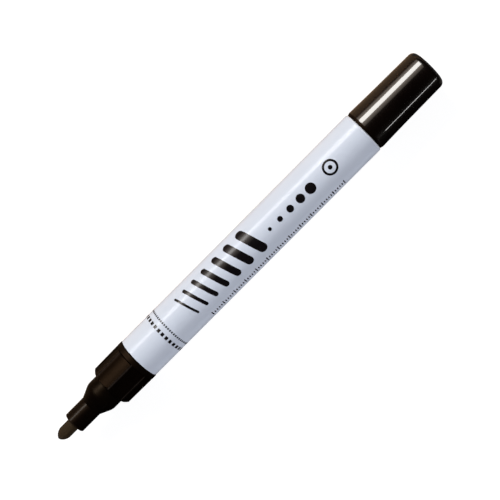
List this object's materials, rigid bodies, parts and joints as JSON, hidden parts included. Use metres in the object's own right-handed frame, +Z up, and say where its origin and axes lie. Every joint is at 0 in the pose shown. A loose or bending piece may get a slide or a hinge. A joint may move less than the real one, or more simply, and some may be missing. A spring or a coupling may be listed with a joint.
{
  "type": "paint marker",
  "caption": "Valve-action paint marker with a bullet nib, an eight-sided front collar, a lacquered metal barrel and a cap pushed on the tail.",
  "frame": {"origin": "on the surface that the marker lies on, below the middle of its length", "axes": "+X along the marker from the nib to the cap, +Z up from the surface"},
  "size_m": [0.1714, 0.016, 0.0159],
  "materials": {
    "nib_fibre": "bonded fibre, paint-stained",
    "front_plastic": "satin moulded",
    "seal_rubber": "matt elastomer",
    "barrel_lacquer": "glossy white lacquer on aluminium",
    "tail_plastic": "satin moulded",
    "valve_plastic": "natural moulded",
    "spring_steel": "drawn wire",
    "ball_steel": "polished",
    "inner_cap_plastic": "natural moulded",
    "cap_plastic": "high gloss moulded"
  },
  "bodies": {
    "marker": {"front_section": "front_plastic", "barrel_seal": "seal_rubber", "barrel": "barrel_lacquer", "tail_plug": "tail_plastic", "valve_case": "valve_plastic", "valve_spring": "spring_steel", "spring_retainer": "valve_plastic"},
    "nib": {"nib": "nib_fibre"},
    "valve_stem": {"valve_stem": "valve_plastic", "valve_seal": "seal_rubber"},
    "mixing_ball": {"mixing_ball": "ball_steel"},
    "cap": {"cap_shell": "cap_plastic", "inner_cap": "inner_cap_plastic"}
  },
  "joints": [
    {"name": "nib_press", "type": "slide", "parent": "marker", "child": "nib", "axis": [1, 0, 0], "range_m": [0, 0.0018], "stiffness_N_per_m": 900, "springref_m": -0.0015},
    {"name": "valve_lift", "type": "slide", "parent": "marker", "child": "valve_stem", "axis": [1, 0, 0], "range_m": [0, 0.0018], "deforming": ["valve_spring"]},
    {"name": "ball_run", "type": "slide", "parent": "marker", "child": "mixing_ball", "axis": [1, 0, 0], "range_m": [0, 0.0878]},
    {"name": "cap_pull", "type": "slide", "parent": "marker", "child": "cap", "axis": [1, 0, 0], "range_m": [0, 0.04]}
  ],
  "couplings": [
    {"joint": "valve_lift", "follows": "nib_press", "ratio": 1}
  ]
}
